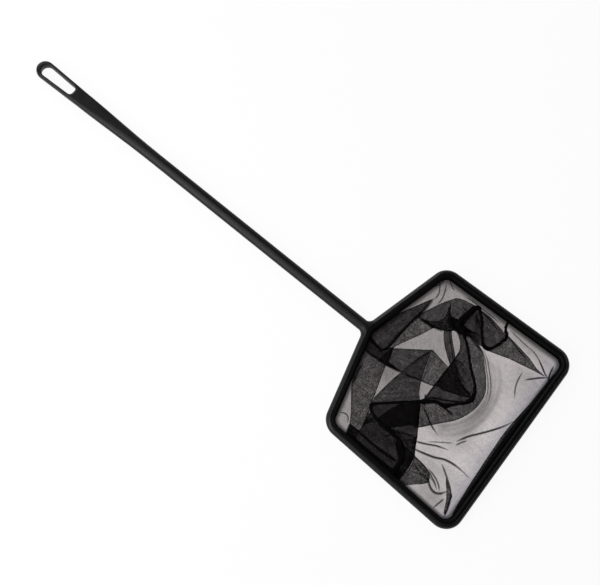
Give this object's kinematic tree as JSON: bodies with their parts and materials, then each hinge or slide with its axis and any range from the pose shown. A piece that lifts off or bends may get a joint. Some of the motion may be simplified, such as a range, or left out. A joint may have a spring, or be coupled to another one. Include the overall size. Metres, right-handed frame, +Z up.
{
  "type": "aquarium fish net",
  "caption": "Hand net for an aquarium: a house-shaped plastic head on a long round handle with a hanging slot, and a fine mesh bag pressed flat in the head.",
  "frame": {"origin": "under the middle of the whole net, on the surface it lies on", "axes": "+X along the handle from the hanging loop to the base bar of the head, +Z up out of the mouth of the bag"},
  "size_m": [0.4124, 0.1488, 0.0075],
  "materials": {
    "moulded_plastic": "satin black moulded plastic with a fine spark texture",
    "ring_plastic": "deep black moulded plastic",
    "mesh": "fine black knitted mesh, see-through",
    "seam": "black overlocked seam thread"
  },
  "bodies": {
    "root": {"handle_frame": "moulded_plastic", "retaining_ring": "ring_plastic", "bag_hem": "mesh", "bag_handle_panel": "mesh", "bag_base_panel": "mesh", "bag_seam": "seam"}
  },
  "joints": []
}
